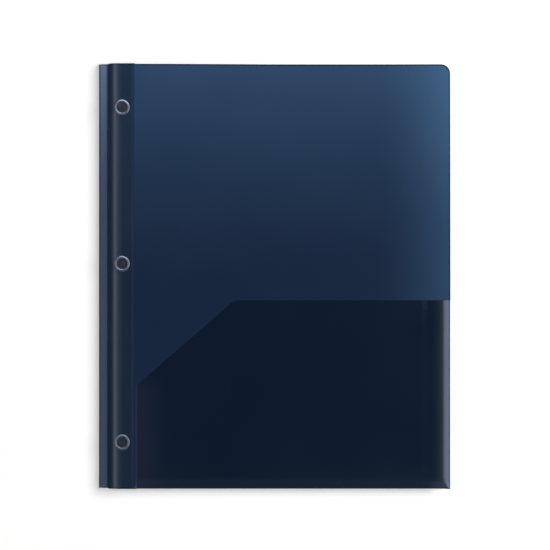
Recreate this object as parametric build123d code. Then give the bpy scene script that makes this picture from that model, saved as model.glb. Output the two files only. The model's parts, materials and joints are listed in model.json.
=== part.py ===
from build123d import *
import math
import os

# Two pocket folder: one poly sheet, creased and folded, with three riveted prong fasteners.
# x runs from the spine edge to the open edge, y from the bottom edge to the top edge,
# z from the table up through the closed folder. All lengths are millimetres, angles degrees.

# Sheet and outline
folder_width = 241.3
folder_height = 292.1
sheet = 0.5
corner_radius = 6.35

# Pockets, the same on both covers
pocket_height = 129.5
pocket_side_height = 70.7
pocket_slant_width = 67.5
pocket_inset = 2.0
pocket_rounding = 2.5
pocket_depth = 1.3
pocket_edge_gap = 0.1
bottom_fold_run = 7.0
side_fold_run = 8.0
fold_relief = 4.0
fold_roll_share = 0.35
fold_turn_share = 0.85
fold_turn_lift = 0.62
fold_nose_lift = 0.32
flap_width = 23.4
flap_rounding = 2.5
weld_width = 7.0
weld_pitch = 2.05
weld_bar = 1.0
weld_depth = 0.12
weld_margin = 5.0

# Room left between the two closed halves
flap_gap = 0.4
rest_gap = 0.3

# Spine: low lip, steep flank, rounded shoulder, gentle crown, flat fastener panel, groove
lip_length = 5.4
lip_tilt = 9.0
crease_radius = 0.8
flank_angle = 65.0
shoulder_radius = 3.2
shoulder_slope = 10.0
shoulder_land = 0.3
crown_radius = 20.0
panel_width = 10.7
groove_width = 3.0
groove_depth = 0.15
groove_web = 0.2

# Fasteners: three rivets, each holding a prong with two tangs under the inner strip
strip_margin = 0.6
strip_end_margin = 6.0
strip_rounding = 2.0
rivet_inset = 5.45
lower_rivet_margin = 32.0
upper_rivet_margin = 30.3
upper_rivet_pitch = 107.3
head_radius = 5.6
head_edge = 0.25
head_rim = 0.9
head_dish = 0.35
dish_radius = 3.45
rim_flank = 0.4
rim_shoulder = 0.75
shank_radius = 1.7
shank_clearance = 0.05
clinch_radius = 2.2
clinch_height = 0.5
prong_thickness = 0.35
prong_base_width = 5.7
tang_clearance = 0.3
tang_length = 24.5
tang_root_width = 4.0
tang_tip_width = 3.4

# Levels through the closed folder, from the table up
pocket_level = sheet + pocket_depth
flap_level = pocket_level + sheet
half_height = flap_level + sheet
cover_top = 2 * half_height + flap_gap
cover_bottom = cover_top - sheet
strip_bottom = cover_bottom - sheet
prong_bottom = strip_bottom - prong_thickness
cover_drop = cover_bottom - sheet - rest_gap

# Spine profile, as the middle line of the sheet in x and z
fold_axis_x = sheet * math.sin(math.radians(lip_tilt))


def ahead(start, length, angle):
    """The point a length ahead of start, at an angle above the x direction."""
    turn = math.radians(angle)
    return start[0] + length * math.cos(turn), start[1] + length * math.sin(turn)


def bend_tangent(radius, turn):
    """How far before its corner a bend of this radius and turn begins."""
    return radius * math.tan(math.radians(turn) / 2)


shoulder_tangent = bend_tangent(shoulder_radius, flank_angle - shoulder_slope)
slope_length = shoulder_tangent + shoulder_land + bend_tangent(crown_radius, shoulder_slope)
slope_rise = slope_length * math.sin(math.radians(shoulder_slope))
lip_start = ahead((fold_axis_x, sheet), sheet / 2, lip_tilt + 90)
lip_end = ahead(lip_start, lip_length, lip_tilt)
flank_rise = cover_top - sheet / 2 - slope_rise - lip_end[1]
flank_top = ahead(lip_end, flank_rise / math.sin(math.radians(flank_angle)), flank_angle)
shoulder_split = ahead(flank_top, shoulder_tangent + shoulder_land / 2, shoulder_slope)
crown_corner = ahead(flank_top, slope_length, shoulder_slope)
crown_end_x = crown_corner[0] + bend_tangent(crown_radius, shoulder_slope)
groove_start = crown_corner[0] + panel_width
hinge_x = groove_start + groove_width / 2
cover_start = groove_start + groove_width

# Places that follow from the sizes
pocket_start = cover_start + pocket_inset
side_fold_start = folder_width - side_fold_run
side_fold_bottom = bottom_fold_run + fold_relief
rivet_x = groove_start - rivet_inset
rivet_heights = {
    "lower": lower_rivet_margin,
    "middle": folder_height - upper_rivet_margin - upper_rivet_pitch,
    "upper": folder_height - upper_rivet_margin,
}
tang_axis_offset = clinch_radius + tang_clearance


def flat_piece(outline, level, thickness=sheet):
    """A flat piece from its outline in x and y, standing on a level."""
    return extrude(Pos(0, 0, level) * outline, thickness)


def run_along_spine(profile, low, high):
    """A profile in x and z, run from one height of the folder to another."""
    end_plane = Plane((0, high, 0), x_dir=(1, 0, 0), z_dir=(0, -1, 0))
    return extrude(end_plane * profile, high - low)


def run_across(profile, low, high):
    """A profile in y and z, run from one distance off the spine edge to another."""
    start_plane = Plane((low, 0, 0), x_dir=(0, 1, 0), z_dir=(1, 0, 0))
    return extrude(start_plane * profile, high - low)


def span(low_x, low_y, high_x, high_y):
    """A rectangle between two corners."""
    return Pos(low_x, low_y) * Rectangle(high_x - low_x, high_y - low_y, align=Align.MIN)


def bent_sheet(points, radii):
    """The section of a sheet whose middle line follows points with rounded corners."""
    return trace(FilletPolyline(*points, radius=radii), line_width=sheet)


def softest_radii(points):
    """For each corner of a path, about the largest radius that its straights leave room for."""
    radii = []
    for before, corner, after in zip(points, points[1:], points[2:]):
        arriving = Vector(corner) - Vector(before)
        leaving = Vector(after) - Vector(corner)
        room = 0.45 * min(arriving.length, leaving.length)
        radii.append(room / bend_tangent(1, arriving.get_angle(leaving)))
    return radii


def soft_fold(run, height):
    """The section of a sheet folded back on itself without a crease: roll, turn and nose."""
    half = (height - sheet) / 2
    reach = run - sheet / 2
    upper = [(0, half), (fold_roll_share * reach, half)]
    upper += [(fold_turn_share * reach, fold_turn_lift * half), (reach, fold_nose_lift * half)]
    path = upper + [(x, -z) for x, z in reversed(upper)]
    return bent_sheet(path, softest_radii(path))


def cover_outline(start):
    """A cover's flat part: full size, less the strips where the soft folds carry on."""
    outline = span(start, 0, folder_width, folder_height)
    outer_corners = outline.vertices().group_by(Axis.X)[-1]
    outline = fillet(outer_corners.sort_by(Axis.Y)[-1:], corner_radius)
    outline -= span(pocket_start, 0, folder_width, bottom_fold_run)
    outline -= span(side_fold_start, side_fold_bottom, folder_width, pocket_height)
    return outline


def pocket_panel():
    """The pocket's inner panel, with its slanted corner beside the spine."""
    right = side_fold_start - pocket_edge_gap
    slant_top = (pocket_start + pocket_slant_width, pocket_height)
    slant_low = (pocket_start, pocket_side_height)
    corners = [(pocket_start, bottom_fold_run), slant_low, slant_top]
    corners += [(right, pocket_height), (right, bottom_fold_run)]
    outline = make_face(Polyline(*corners, close=True))
    slant_ends = outline.vertices().sort_by(Axis.X)[:3].sort_by(Axis.Y)[-2:]
    return flat_piece(fillet(slant_ends, pocket_rounding), pocket_level)


def bottom_fold():
    """The soft fold that carries the cover round into the pocket panel."""
    height = flap_level
    section = Pos(bottom_fold_run, height / 2) * Rot(0, 0, 180) * soft_fold(bottom_fold_run, height)
    return run_across(section, pocket_start, folder_width)


def side_fold():
    """The soft fold that carries the cover round into the side flap."""
    section = Pos(side_fold_start, half_height / 2) * soft_fold(side_fold_run, half_height)
    return run_along_spine(section, side_fold_bottom, pocket_height)


def side_flap():
    """The flap that closes the pocket's side, with the knurled weld that holds it."""
    inner_edge = folder_width - flap_width
    outline = span(inner_edge, side_fold_bottom, side_fold_start, pocket_height)
    inner_corners = outline.vertices().group_by(Axis.X)[0]
    flap = flat_piece(fillet(inner_corners, flap_rounding), flap_level)
    weld_length = pocket_height - side_fold_bottom - 2 * weld_margin
    bars = int(weld_length / weld_pitch) + 1
    weld_x = (inner_edge + side_fold_start) / 2
    weld_y = (side_fold_bottom + pocket_height) / 2
    top = half_height - weld_depth
    marks = [
        Pos(weld_x, weld_y + (bar - (bars - 1) / 2) * weld_pitch, top)
        * Box(weld_width, weld_bar, 2 * weld_depth, align=(Align.CENTER, Align.CENTER, Align.MIN))
        for bar in range(bars)
    ]
    return flap - marks


def drooped_section(share):
    """The front cover's section at one height: a share of the full droop at the open edge."""
    low = cover_top - share * cover_drop
    run = folder_width - cover_start
    early = cover_start + 0.2 * run
    late = cover_start + 0.5 * run
    upper = Bezier((cover_start, cover_top), (early, cover_top), (late, low), (folder_width, low))
    lower = Pos(0, -sheet) * upper
    ends = [Line(upper @ 0, lower @ 0), Line(upper @ 1, lower @ 1)]
    return make_face([upper, lower, *ends])


def front_cover():
    """The front cover: flat over the pocket, drooping above it to rest on the back cover."""
    free_height = folder_height - pocket_height
    sections = []
    for part_way in (0, 0.5, 1):
        height = pocket_height + part_way * free_height
        section_plane = Plane((0, height, 0), x_dir=(1, 0, 0), z_dir=(0, -1, 0))
        sections.append(section_plane * drooped_section(part_way**2))
    flat = flat_piece(span(cover_start, 0, folder_width, pocket_height), cover_bottom)
    body = (flat + loft(sections)) & flat_piece(cover_outline(cover_start), 0, cover_top)
    return body + hinge_web(hinge_x, cover_start)


def hinge_web(low_x, high_x):
    """Half of the thinned web in the groove between fastener panel and front cover."""
    web_bottom = cover_top - groove_depth - groove_web
    return flat_piece(span(low_x, 0, high_x, folder_height), web_bottom, groove_web)


def gusset():
    """The spine's lip, flank and shoulder, folded up from the back cover's edge."""
    path = [lip_start, lip_end, flank_top, shoulder_split]
    section = bent_sheet(path, [crease_radius, shoulder_radius])
    return run_along_spine(section, 0, folder_height)


def rivet_holes():
    """The room that the rivet shanks take through panel, strip and prong bases."""
    radius = shank_radius + shank_clearance
    hole = Cylinder(radius, cover_top, align=(Align.CENTER, Align.CENTER, Align.MIN))
    return [Pos(rivet_x, height, 0) * hole for height in rivet_heights.values()]


def fastener_panel():
    """The raised panel of the spine, from the shoulder's crown to the groove."""
    path = [shoulder_split, crown_corner, (groove_start, cover_top - sheet / 2)]
    plate = run_along_spine(bent_sheet(path, [crown_radius]), 0, folder_height)
    return plate + hinge_web(groove_start, hinge_x) - rivet_holes()


def fastener_strip():
    """The inner strip that stiffens the panel under the rivets."""
    low = (crown_end_x + strip_margin, strip_end_margin)
    high = (groove_start - strip_margin, folder_height - strip_end_margin)
    outline = span(*low, *high)
    plate = flat_piece(fillet(outline.vertices(), strip_rounding), strip_bottom)
    return plate - rivet_holes()


def rivet(height):
    """A rivet turned about its shank: ring-shaped head outside, clinched end inside."""
    clinch_end = prong_bottom - clinch_height
    shaft = [(0, clinch_end), (clinch_radius, clinch_end), (clinch_radius, prong_bottom)]
    shaft += [(shank_radius, prong_bottom), (shank_radius, cover_top)]
    shaft += [(head_radius, cover_top), (head_radius, cover_top + head_edge)]
    shaft += [(head_radius - rim_flank, cover_top + rim_shoulder)]
    rim_middle = ((head_radius + dish_radius) / 2, cover_top + head_rim)
    rim_end = (dish_radius + rim_flank, cover_top + rim_shoulder)
    rim = ThreePointArc(shaft[-1], rim_middle, rim_end)
    dish_level = cover_top + head_dish
    dish = Polyline(rim_end, (dish_radius, dish_level), (0, dish_level), shaft[0])
    section = make_face([Polyline(*shaft), rim, dish])
    return Pos(rivet_x, height, 0) * revolve(Plane.XZ * section, Axis.Z)


def prong_base(height):
    """The small plate under the strip that both tangs of a prong bend up from."""
    outline = Pos(rivet_x, height) * Rectangle(prong_base_width, 2 * tang_axis_offset)
    return flat_piece(outline, prong_bottom, prong_thickness) - rivet_holes()


def tang(height, side):
    """One tang, lying flat along the spine; side is 1 towards the top edge, or -1."""
    tip_radius = tang_tip_width / 2
    tip = tang_length - tip_radius
    root = tang_root_width / 2
    blade = make_face(Polyline((-root, 0), (root, 0), (tip_radius, tip), (-tip_radius, tip), close=True))
    outline = blade + Pos(0, tip) * Circle(tip_radius)
    place = Pos(rivet_x, height + side * tang_axis_offset) * Rot(0, 0, 90 - side * 90)
    return flat_piece(place * outline, prong_bottom, prong_thickness)


# Every piece by name; the front pocket is the back pocket turned over
pieces = {
    "back_cover": flat_piece(cover_outline(fold_axis_x), 0),
    "back_pocket": pocket_panel(),
    "back_bottom_fold": bottom_fold(),
    "back_side_fold": side_fold(),
    "back_side_flap": side_flap(),
    "gusset": gusset(),
    "fastener_panel": fastener_panel(),
    "fastener_strip": fastener_strip(),
    "front_cover": front_cover(),
}
middle_plane = Plane.XY.offset(cover_top / 2)
for name in ("pocket", "bottom_fold", "side_fold", "side_flap"):
    pieces["front_" + name] = mirror(pieces["back_" + name], about=middle_plane)
for name, height in rivet_heights.items():
    pieces[name + "_rivet"] = rivet(height)
    pieces[name + "_prong_base"] = prong_base(height)
    pieces[name + "_tang_up"] = tang(height, 1)
    pieces[name + "_tang_down"] = tang(height, -1)

os.makedirs("parts", exist_ok=True)
for name, piece in pieces.items():
    placed = Pos(-folder_width / 2, -folder_height / 2, 0) * piece
    export_step(placed, f"parts/{name}.step")
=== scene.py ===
# %% [markdown]
# A two pocket folder made of one sheet of dark navy plastic. It lies closed on a white table,
# front cover up and spine to the left. The construction comes in as a fixed frame of solids,
# in metres, and this lesson makes the finished pieces that are seen in their place.

# %% Load the frame
import json
import math

import bmesh
import bpy
from mathutils import Matrix, Vector


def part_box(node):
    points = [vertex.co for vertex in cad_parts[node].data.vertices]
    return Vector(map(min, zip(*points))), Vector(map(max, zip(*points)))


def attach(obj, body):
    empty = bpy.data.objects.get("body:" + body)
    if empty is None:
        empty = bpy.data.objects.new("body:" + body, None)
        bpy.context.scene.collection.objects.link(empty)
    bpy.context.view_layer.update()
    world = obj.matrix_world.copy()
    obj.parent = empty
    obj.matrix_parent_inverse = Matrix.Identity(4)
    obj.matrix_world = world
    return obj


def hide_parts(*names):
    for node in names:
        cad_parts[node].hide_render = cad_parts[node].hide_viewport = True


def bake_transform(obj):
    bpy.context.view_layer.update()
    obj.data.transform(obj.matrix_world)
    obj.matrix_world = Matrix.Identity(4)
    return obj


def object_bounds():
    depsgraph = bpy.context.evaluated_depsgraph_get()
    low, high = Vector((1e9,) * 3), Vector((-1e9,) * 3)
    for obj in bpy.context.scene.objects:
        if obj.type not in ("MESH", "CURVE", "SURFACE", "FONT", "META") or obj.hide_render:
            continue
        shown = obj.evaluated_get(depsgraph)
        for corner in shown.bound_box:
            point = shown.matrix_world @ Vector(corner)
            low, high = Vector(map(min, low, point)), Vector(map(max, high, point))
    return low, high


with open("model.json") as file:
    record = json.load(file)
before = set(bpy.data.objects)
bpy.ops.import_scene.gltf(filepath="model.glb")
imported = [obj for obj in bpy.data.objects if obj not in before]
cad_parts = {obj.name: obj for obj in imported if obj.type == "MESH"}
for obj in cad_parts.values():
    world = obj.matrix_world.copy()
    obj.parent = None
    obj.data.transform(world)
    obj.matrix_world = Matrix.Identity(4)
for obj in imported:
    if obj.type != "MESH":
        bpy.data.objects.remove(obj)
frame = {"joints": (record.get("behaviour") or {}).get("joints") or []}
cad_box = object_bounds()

# %% [markdown]
# Every piece has to sit where the construction says, so the places are read from the frame's
# boxes and joints. They could be typed in again, but then a change in the construction would
# leave the pieces behind. Only sizes that no box shows, such as a fold's radius, are written in
# this lesson, in millimetres times mm.

# %% Read the main places
mm = 0.001
nearly = 0.01 * mm
left_edge, bottom_edge, table_top = cad_box[0]
right_edge, top_edge, _ = cad_box[1]
folder_width = right_edge - left_edge
folder_height = top_edge - bottom_edge
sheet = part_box("back_cover")[1].z
cover_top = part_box("front_cover")[1].z
pocket_low, pocket_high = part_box("front_pocket")
pivots = {joint["name"]: Vector(joint["pos_m"]) for joint in frame["joints"]}
groove_half = 1.5 * mm
panel_end = pivots["cover_groove"].x - groove_half
cover_start = pivots["cover_groove"].x + groove_half
print("folder", round(folder_width / mm, 1), "by", round(folder_height / mm, 1), "mm")

# %% [markdown]
# The photograph looks straight down, so the camera hangs over the folder and looks along -Z. A
# long lens far away and a short one close by can show the folder at the same size, but with a
# different perspective. Here the raised strip's ends have to reach a little further out than the
# low lip's, as in the photograph, which fixes the height, and then the lens gives the size.

# %% Hang the camera
camera_height = 0.9
camera_lens = 85.3
camera_aim = (0.35 * mm, 0.73 * mm)
camera = bpy.data.objects.new("camera", bpy.data.cameras.new("camera"))
bpy.context.scene.collection.objects.link(camera)
camera.location = (*camera_aim, camera_height)
camera.data.lens = camera_lens
bpy.context.scene.camera = camera
bpy.context.scene.view_settings.view_transform = "Standard"
print("camera", tuple(round(v, 4) for v in camera.location))

# %% [markdown]
# A smooth dark sheet shows mostly what it reflects, and each highlight on it is the picture of a
# lamp. One sky could light the whole scene, but then no highlight could be moved by itself, so
# every lamp here is a rectangle of its own. Its strength is given as radiance, the brightness of
# its face, so that a larger lamp gives softer light and doesn't look brighter.

# %% A soft lamp
lamp_height = 0.95


def soft_light(name, place, size, aim, radiance):
    """A rectangular lamp that faces a point; radiance 1 looks as bright as white paper."""
    data = bpy.data.lights.new(name, "AREA")
    data.shape = "RECTANGLE"
    data.size, data.size_y = size
    data.energy = radiance * math.pi * data.size * data.size_y
    lamp = bpy.data.objects.new(name, data)
    bpy.context.scene.collection.objects.link(lamp)
    lamp.location = place
    lamp.rotation_mode = "QUATERNION"
    lamp.rotation_quaternion = (Vector(aim) - Vector(place)).to_track_quat("-Z", "Y")
    return lamp


def overhead_light(name, low, high, radiance, height=lamp_height):
    """A lamp that hangs level over the table, between two corners."""
    place = ((low[0] + high[0]) / 2, (low[1] + high[1]) / 2)
    size = (high[0] - low[0], high[1] - low[1])
    return soft_light(name, (*place, height), size, (*place, 0), radiance)


# %% [markdown]
# Two lamps give the plain light, and they are kept out of the reflections: a wide one high
# overhead, and a low one at the right that throws the soft shadows. The others are there to be
# reflected. One at the right brightens the fold at the open edge, five strips of different
# strength at the left draw the bright line along the spine, and a faint one shows the bottom
# fold. A bright one at the top shines on the rivets alone and makes their rings stand out.

# %% Hang the lamps
fold_light = overhead_light("fold_light", (0.38, -0.5), (1.1, 0.6), 3.0)
fold_light.data.color = (0.95, 1.0, 1.07)
fold_light.visible_diffuse = False
sky_light = overhead_light("sky_light", (-1.2, -0.9), (1.2, 1.5), 1.0, 2.2)
sky_light.visible_glossy = False
spine_strips = (
    (-1.6, -1.05, 0.2),
    (-1.05, -0.78, 0.4),
    (-0.78, -0.56, 0.75),
    (-0.56, -0.38, 2.5),
    (-0.38, -0.27, 0.25),
)
for number, (start, end, radiance) in enumerate(spine_strips):
    spine_light = overhead_light(f"spine_light_{number}", (start, -0.5), (end, 0.5), radiance)
    spine_light.data.color = (0.92, 0.96, 1.15)
    spine_light.visible_diffuse = False
overhead_light("bottom_light", (-0.5, -1.0), (0.5, -0.31), 0.15)
ring_light = overhead_light("ring_light", (-0.5, 0.43), (0.8, 1.15), 6.8)
ring_light.data.color = (0.85, 0.95, 1.2)
ring_light.visible_diffuse = False
ring_light_on = bpy.data.collections.new("ring_light_on")
ring_light.light_linking.receiver_collection = ring_light_on
shadow_light = soft_light("shadow_light", (3.62, 0.8, 1.46), (2.6, 0.84), (0, 0, 0), 36.0)
shadow_light.data.color = (1.0, 1.0, 0.99)
shadow_light.visible_glossy = False
print("lamps", [lamp.name for lamp in bpy.data.lights])

# %% [markdown]
# The room, the table and every finish are made of shader nodes. They could be placed by hand in
# the editor, or wired in code one link at a time, which takes many lines. These builders make a
# node, set its options and wire or fill its inputs in order, so that an effect reads as a few
# sums. Most masks are soft steps, because hardly any border on the real sheet is sharp.

# %% A builder for nodes
def add_node(tree, kind, *inputs, **options):
    """A node of this kind, with options set and inputs wired or filled in order; None skips one."""
    made = tree.nodes.new("ShaderNode" + kind)
    for name, value in options.items():
        setattr(made, name, value)
    for socket, value in zip(made.inputs, inputs):
        if isinstance(value, bpy.types.NodeSocket):
            tree.links.new(value, socket)
        elif value is not None:
            socket.default_value = value
    return made


def calc(tree, operation, *values):
    """One sum, as a socket."""
    return add_node(tree, "Math", *values, operation=operation).outputs["Value"]


def fade(tree, value, start, end, low=0.0, high=1.0):
    """A soft step from low at start to high at end."""
    step = add_node(tree, "MapRange", value, start, end, low, high, interpolation_type="SMOOTHSTEP")
    return step.outputs["Result"]


# %% [markdown]
# Round the table is a plain grey room, which shows as a soft gradient in everything that shines.
# A photographed room would bring its windows along. This one is a sum of the direction alone: it
# is brighter towards the right, dim at the left and nearly dark overhead, so that the flat areas
# of the folder, which mirror what is above them, stay deep navy.

# %% Paint the room round the table
bright_way = Vector((0.96, 0.28, 0))
room_dim, room_bright, room_zenith = 0.1, 0.5, 0.05
room = bpy.data.worlds.new("room")
bpy.context.scene.world = room
room.use_nodes = True
tree = room.node_tree
background = tree.nodes["Background"]
direction = add_node(tree, "TexCoord").outputs["Generated"]
towards = add_node(tree, "VectorMath", direction, bright_way, operation="DOT_PRODUCT").outputs["Value"]
round_about = fade(tree, towards, -0.8, 0.9, room_dim, room_bright)
upwards = add_node(tree, "SeparateXYZ", direction).outputs["Z"]
overhead = fade(tree, upwards, 0.3, 0.8, 1.0, room_zenith)
background.inputs["Color"].default_value = (1, 1, 1, 1)
tree.links.new(calc(tree, "MULTIPLY", round_about, overhead), background.inputs["Strength"])
print("room from", room_dim, "to", room_bright, "and", room_zenith, "of that overhead")

# %% [markdown]
# The table is plain white. A diffuse white plane under these lamps falls a little short of white,
# and more light would wash out the folder too. So rays that come straight from the camera, or by
# way of a shiny or clear surface, also get a little glow from the table. The plane stays diffuse,
# and keeps the folder's shadow.

# %% Lay the table
floor_size = 4.0
floor_white = 0.88
floor_fill = 0.26
floor_gap = 0.05 * mm
bpy.ops.object.select_all(action="DESELECT")
bpy.ops.mesh.primitive_plane_add(size=floor_size, location=(0, 0, table_top - floor_gap))
floor = bpy.context.object
floor.name = "table"
table_paint = bpy.data.materials.new("table_white")
table_paint.use_nodes = True
floor.data.materials.append(table_paint)
tree = table_paint.node_tree
white = tree.nodes["Principled BSDF"]
white.inputs["Base Color"].default_value = (floor_white, floor_white, floor_white, 1)
white.inputs["Roughness"].default_value = 0.9
white.inputs["Specular IOR Level"].default_value = 0.1
glow = add_node(tree, "Emission", None, floor_fill).outputs["Emission"]
lit_white = add_node(tree, "AddShader", white.outputs["BSDF"], glow).outputs["Shader"]
ray = add_node(tree, "LightPath").outputs
seen = calc(tree, "MAXIMUM", ray["Is Camera Ray"], ray["Is Glossy Ray"])
seen = calc(tree, "MAXIMUM", seen, ray["Is Transmission Ray"])
choose = add_node(tree, "MixShader", seen, white.outputs["BSDF"], lit_white).outputs["Shader"]
tree.links.new(choose, tree.nodes["Material Output"].inputs["Surface"])
print("table", floor_size, "m wide")

# %% [markdown]
# Several materials share an effect, such as the grain or the dark line of a cut edge. It could be
# built again in each of them, but then every change has to be made more than once. A node group
# is built once, with named inputs, and each material that uses it may set its own values.

# %% A builder for node groups
def new_group(name, inputs, outputs):
    """An empty node group with value inputs, given with their usual values, and value outputs."""
    tree = bpy.data.node_groups.new(name, "ShaderNodeTree")
    tree.interface.new_socket("Vector", in_out="INPUT", socket_type="NodeSocketVector")
    for label, value in inputs.items():
        socket = tree.interface.new_socket(label, in_out="INPUT", socket_type="NodeSocketFloat")
        socket.default_value = value
    for label in outputs:
        tree.interface.new_socket(label, in_out="OUTPUT", socket_type="NodeSocketFloat")
    start = tree.nodes.new("NodeGroupInput")
    end = tree.nodes.new("NodeGroupOutput")
    return tree, start.outputs, end.inputs


def use_group(tree, group, vector, **values):
    """A group placed in a material; values are named for its inputs, with _ for a blank."""
    made = tree.nodes.new("ShaderNodeGroup")
    made.node_tree = group
    tree.links.new(vector, made.inputs["Vector"])
    for label, value in values.items():
        socket = made.inputs[label.replace("_", " ").capitalize()]
        if isinstance(value, bpy.types.NodeSocket):
            tree.links.new(value, socket)
        else:
            socket.default_value = value
    return made.outputs


# %% [markdown]
# The sheet has a fine embossed grain that breaks up its shine, and it is never quite flat: slow
# waves a hand wide bend its reflections. A scanned texture would blur close by and repeat. Noise
# on object coordinates does neither, and it stays with the piece when the piece moves.

# %% Satin grain
wave_share = 0.6
satin_grain, group_in, group_out = new_group(
    "satin_grain", {"Grain size": 0.35 * mm, "Wave size": 60 * mm}, ["Height", "Tone"]
)


def noise(tree, vector, scale, detail):
    """Soft noise about 0.5; scale is the number of its waves in a metre."""
    made = add_node(tree, "TexNoise", vector, None, scale, detail, noise_dimensions="3D")
    return made.outputs["Fac"]


fine_scale = calc(satin_grain, "DIVIDE", 1.0, group_in["Grain size"])
wave_scale = calc(satin_grain, "DIVIDE", 1.0, group_in["Wave size"])
fine = noise(satin_grain, group_in["Vector"], fine_scale, 2.0)
wave = noise(satin_grain, group_in["Vector"], wave_scale, 1.0)
grain_height = calc(satin_grain, "MULTIPLY_ADD", wave, wave_share, fine)
satin_grain.links.new(grain_height, group_out["Height"])
satin_grain.links.new(wave, group_out["Tone"])
print(satin_grain.name, len(satin_grain.nodes), "nodes")

# %% [markdown]
# The plastic lets some light through. Near the top and the open edge, light from the white table
# comes in behind the front cover, and that light is painted into its colour as a clearer blue.
# Lower down the layers lie on each other and the sheet is deep navy. A clear shader could trace
# that light, slowly and with much noise. A painted share that falls off from the two edges looks
# the same and is easily set.

# %% Light from behind at the open edges
top_power, side_power = 1.6, 1.9
side_least, side_extra = 0.9, 0.5
edge_light, group_in, group_out = new_group(
    "edge_light",
    {"Top edge": top_edge, "Top reach": 150 * mm, "Side edge": right_edge, "Side reach": 54 * mm},
    ["Share"],
)
place = add_node(edge_light, "SeparateXYZ", group_in["Vector"]).outputs


def nearness(edge, position, reach, power):
    """1 at an edge, falling to 0 at its reach."""
    gap = calc(edge_light, "DIVIDE", calc(edge_light, "SUBTRACT", edge, position), reach)
    left_over = calc(edge_light, "MAXIMUM", calc(edge_light, "SUBTRACT", 1.0, gap), 0.0)
    return calc(edge_light, "POWER", left_over, power)


top_share = nearness(group_in["Top edge"], place["Y"], group_in["Top reach"], top_power)
side_share = nearness(group_in["Side edge"], place["X"], group_in["Side reach"], side_power)
side_gain = calc(edge_light, "MULTIPLY_ADD", top_share, side_extra, side_least)
either = calc(edge_light, "MULTIPLY_ADD", side_share, side_gain, top_share)
edge_light.links.new(either, group_out["Share"])
print(edge_light.name, len(edge_light.nodes), "nodes")

# %% [markdown]
# Where the pocket lies behind the cover, two more layers stop the light, and the pocket's outline
# with its slanted corner shows as a darker field. A see-through cover over a modelled pocket
# would show it too, at the price of the noise named above. The group takes the least of three
# distances, to the pocket's left edge, its top edge and the slant, and a smooth minimum rounds
# the places where they meet.

# %% The pocket behind the cover
slant_low = bottom_edge + 70.7 * mm
slant_width = 67.5 * mm
slant_slope = (pocket_high.y - slant_low) / slant_width
behind_cover, group_in, group_out = new_group(
    "behind_cover",
    {
        "Left": pocket_low.x,
        "Top": pocket_high.y,
        "Slant low": slant_low,
        "Slope": slant_slope,
        "Rounding": 4.5 * mm,
        "Softness": 0.6 * mm,
    },
    ["Pocket"],
)
place = add_node(behind_cover, "SeparateXYZ", group_in["Vector"]).outputs
past_left = calc(behind_cover, "SUBTRACT", place["X"], group_in["Left"])
under_top = calc(behind_cover, "SUBTRACT", group_in["Top"], place["Y"])
slant_here = calc(behind_cover, "MULTIPLY_ADD", past_left, group_in["Slope"], group_in["Slant low"])
under_slant = calc(behind_cover, "SUBTRACT", slant_here, place["Y"])
under_both = calc(behind_cover, "SMOOTH_MIN", under_top, under_slant, group_in["Rounding"])
inside = calc(behind_cover, "SMOOTH_MIN", past_left, under_both, group_in["Rounding"])
half_soft = calc(behind_cover, "MULTIPLY", group_in["Softness"], 0.5)
soft_low = calc(behind_cover, "MULTIPLY", half_soft, -1.0)
behind_cover.links.new(fade(behind_cover, inside, soft_low, half_soft), group_out["Pocket"])
print(behind_cover.name, len(behind_cover.nodes), "nodes")

# %% [markdown]
# Along the cut edges a thin dark line of painted shade is laid on, as the real edge turns away
# from the light. It could be a row of faces with a material of their own, but then the mesh would
# set its width. Painted by the distance to the folder's outline, with its rounded top corner, the
# line can be as narrow and as soft as it is on the real edge.

# %% Painted shade along the cut edges
corner_radius = 6.35 * mm
square_corner = 0.5 * mm
line_full = -0.7 * mm
cut_edge_shade, group_in, group_out = new_group(
    "cut_edge_shade",
    {
        "Half width": folder_width / 2,
        "Half height": folder_height / 2,
        "Corner": corner_radius,
        "Line": 1.2 * mm,
    },
    ["Line"],
)
place = add_node(cut_edge_shade, "SeparateXYZ", group_in["Vector"]).outputs
at_right = calc(cut_edge_shade, "GREATER_THAN", place["X"], 0.0)
at_top = calc(cut_edge_shade, "GREATER_THAN", place["Y"], 0.0)
at_corner = calc(cut_edge_shade, "MULTIPLY", at_right, at_top)
radius = calc(cut_edge_shade, "MULTIPLY_ADD", at_corner, group_in["Corner"], square_corner)


def past_core(position, half):
    """How far a place lies past the straight part of the outline, along one axis."""
    core = calc(cut_edge_shade, "SUBTRACT", half, radius)
    return calc(cut_edge_shade, "SUBTRACT", calc(cut_edge_shade, "ABSOLUTE", position), core)


past_x = past_core(place["X"], group_in["Half width"])
past_y = past_core(place["Y"], group_in["Half height"])
out_x = calc(cut_edge_shade, "MAXIMUM", past_x, 0.0)
out_y = calc(cut_edge_shade, "MAXIMUM", past_y, 0.0)
y_squared = calc(cut_edge_shade, "MULTIPLY", out_y, out_y)
out_by = calc(cut_edge_shade, "SQRT", calc(cut_edge_shade, "MULTIPLY_ADD", out_x, out_x, y_squared))
in_by = calc(cut_edge_shade, "MINIMUM", calc(cut_edge_shade, "MAXIMUM", past_x, past_y), 0.0)
from_edge = calc(cut_edge_shade, "SUBTRACT", calc(cut_edge_shade, "ADD", out_by, in_by), radius)
line_start = calc(cut_edge_shade, "MULTIPLY", group_in["Line"], -1.0)
cut_edge_shade.links.new(fade(cut_edge_shade, from_edge, line_start, line_full), group_out["Line"])
print(cut_edge_shade.name, len(cut_edge_shade.nodes), "nodes")

# %% [markdown]
# Behind the cover the pocket's side flap is welded with a row of short bars. They only just show
# through, near the pocket's top: a slightly lighter band that breaks up into bars and fades. The
# bars are modelled on the flap later on, but the cover is opaque here and hides them, so this
# hint of them is painted: a cosine along the row makes the bars.

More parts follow.
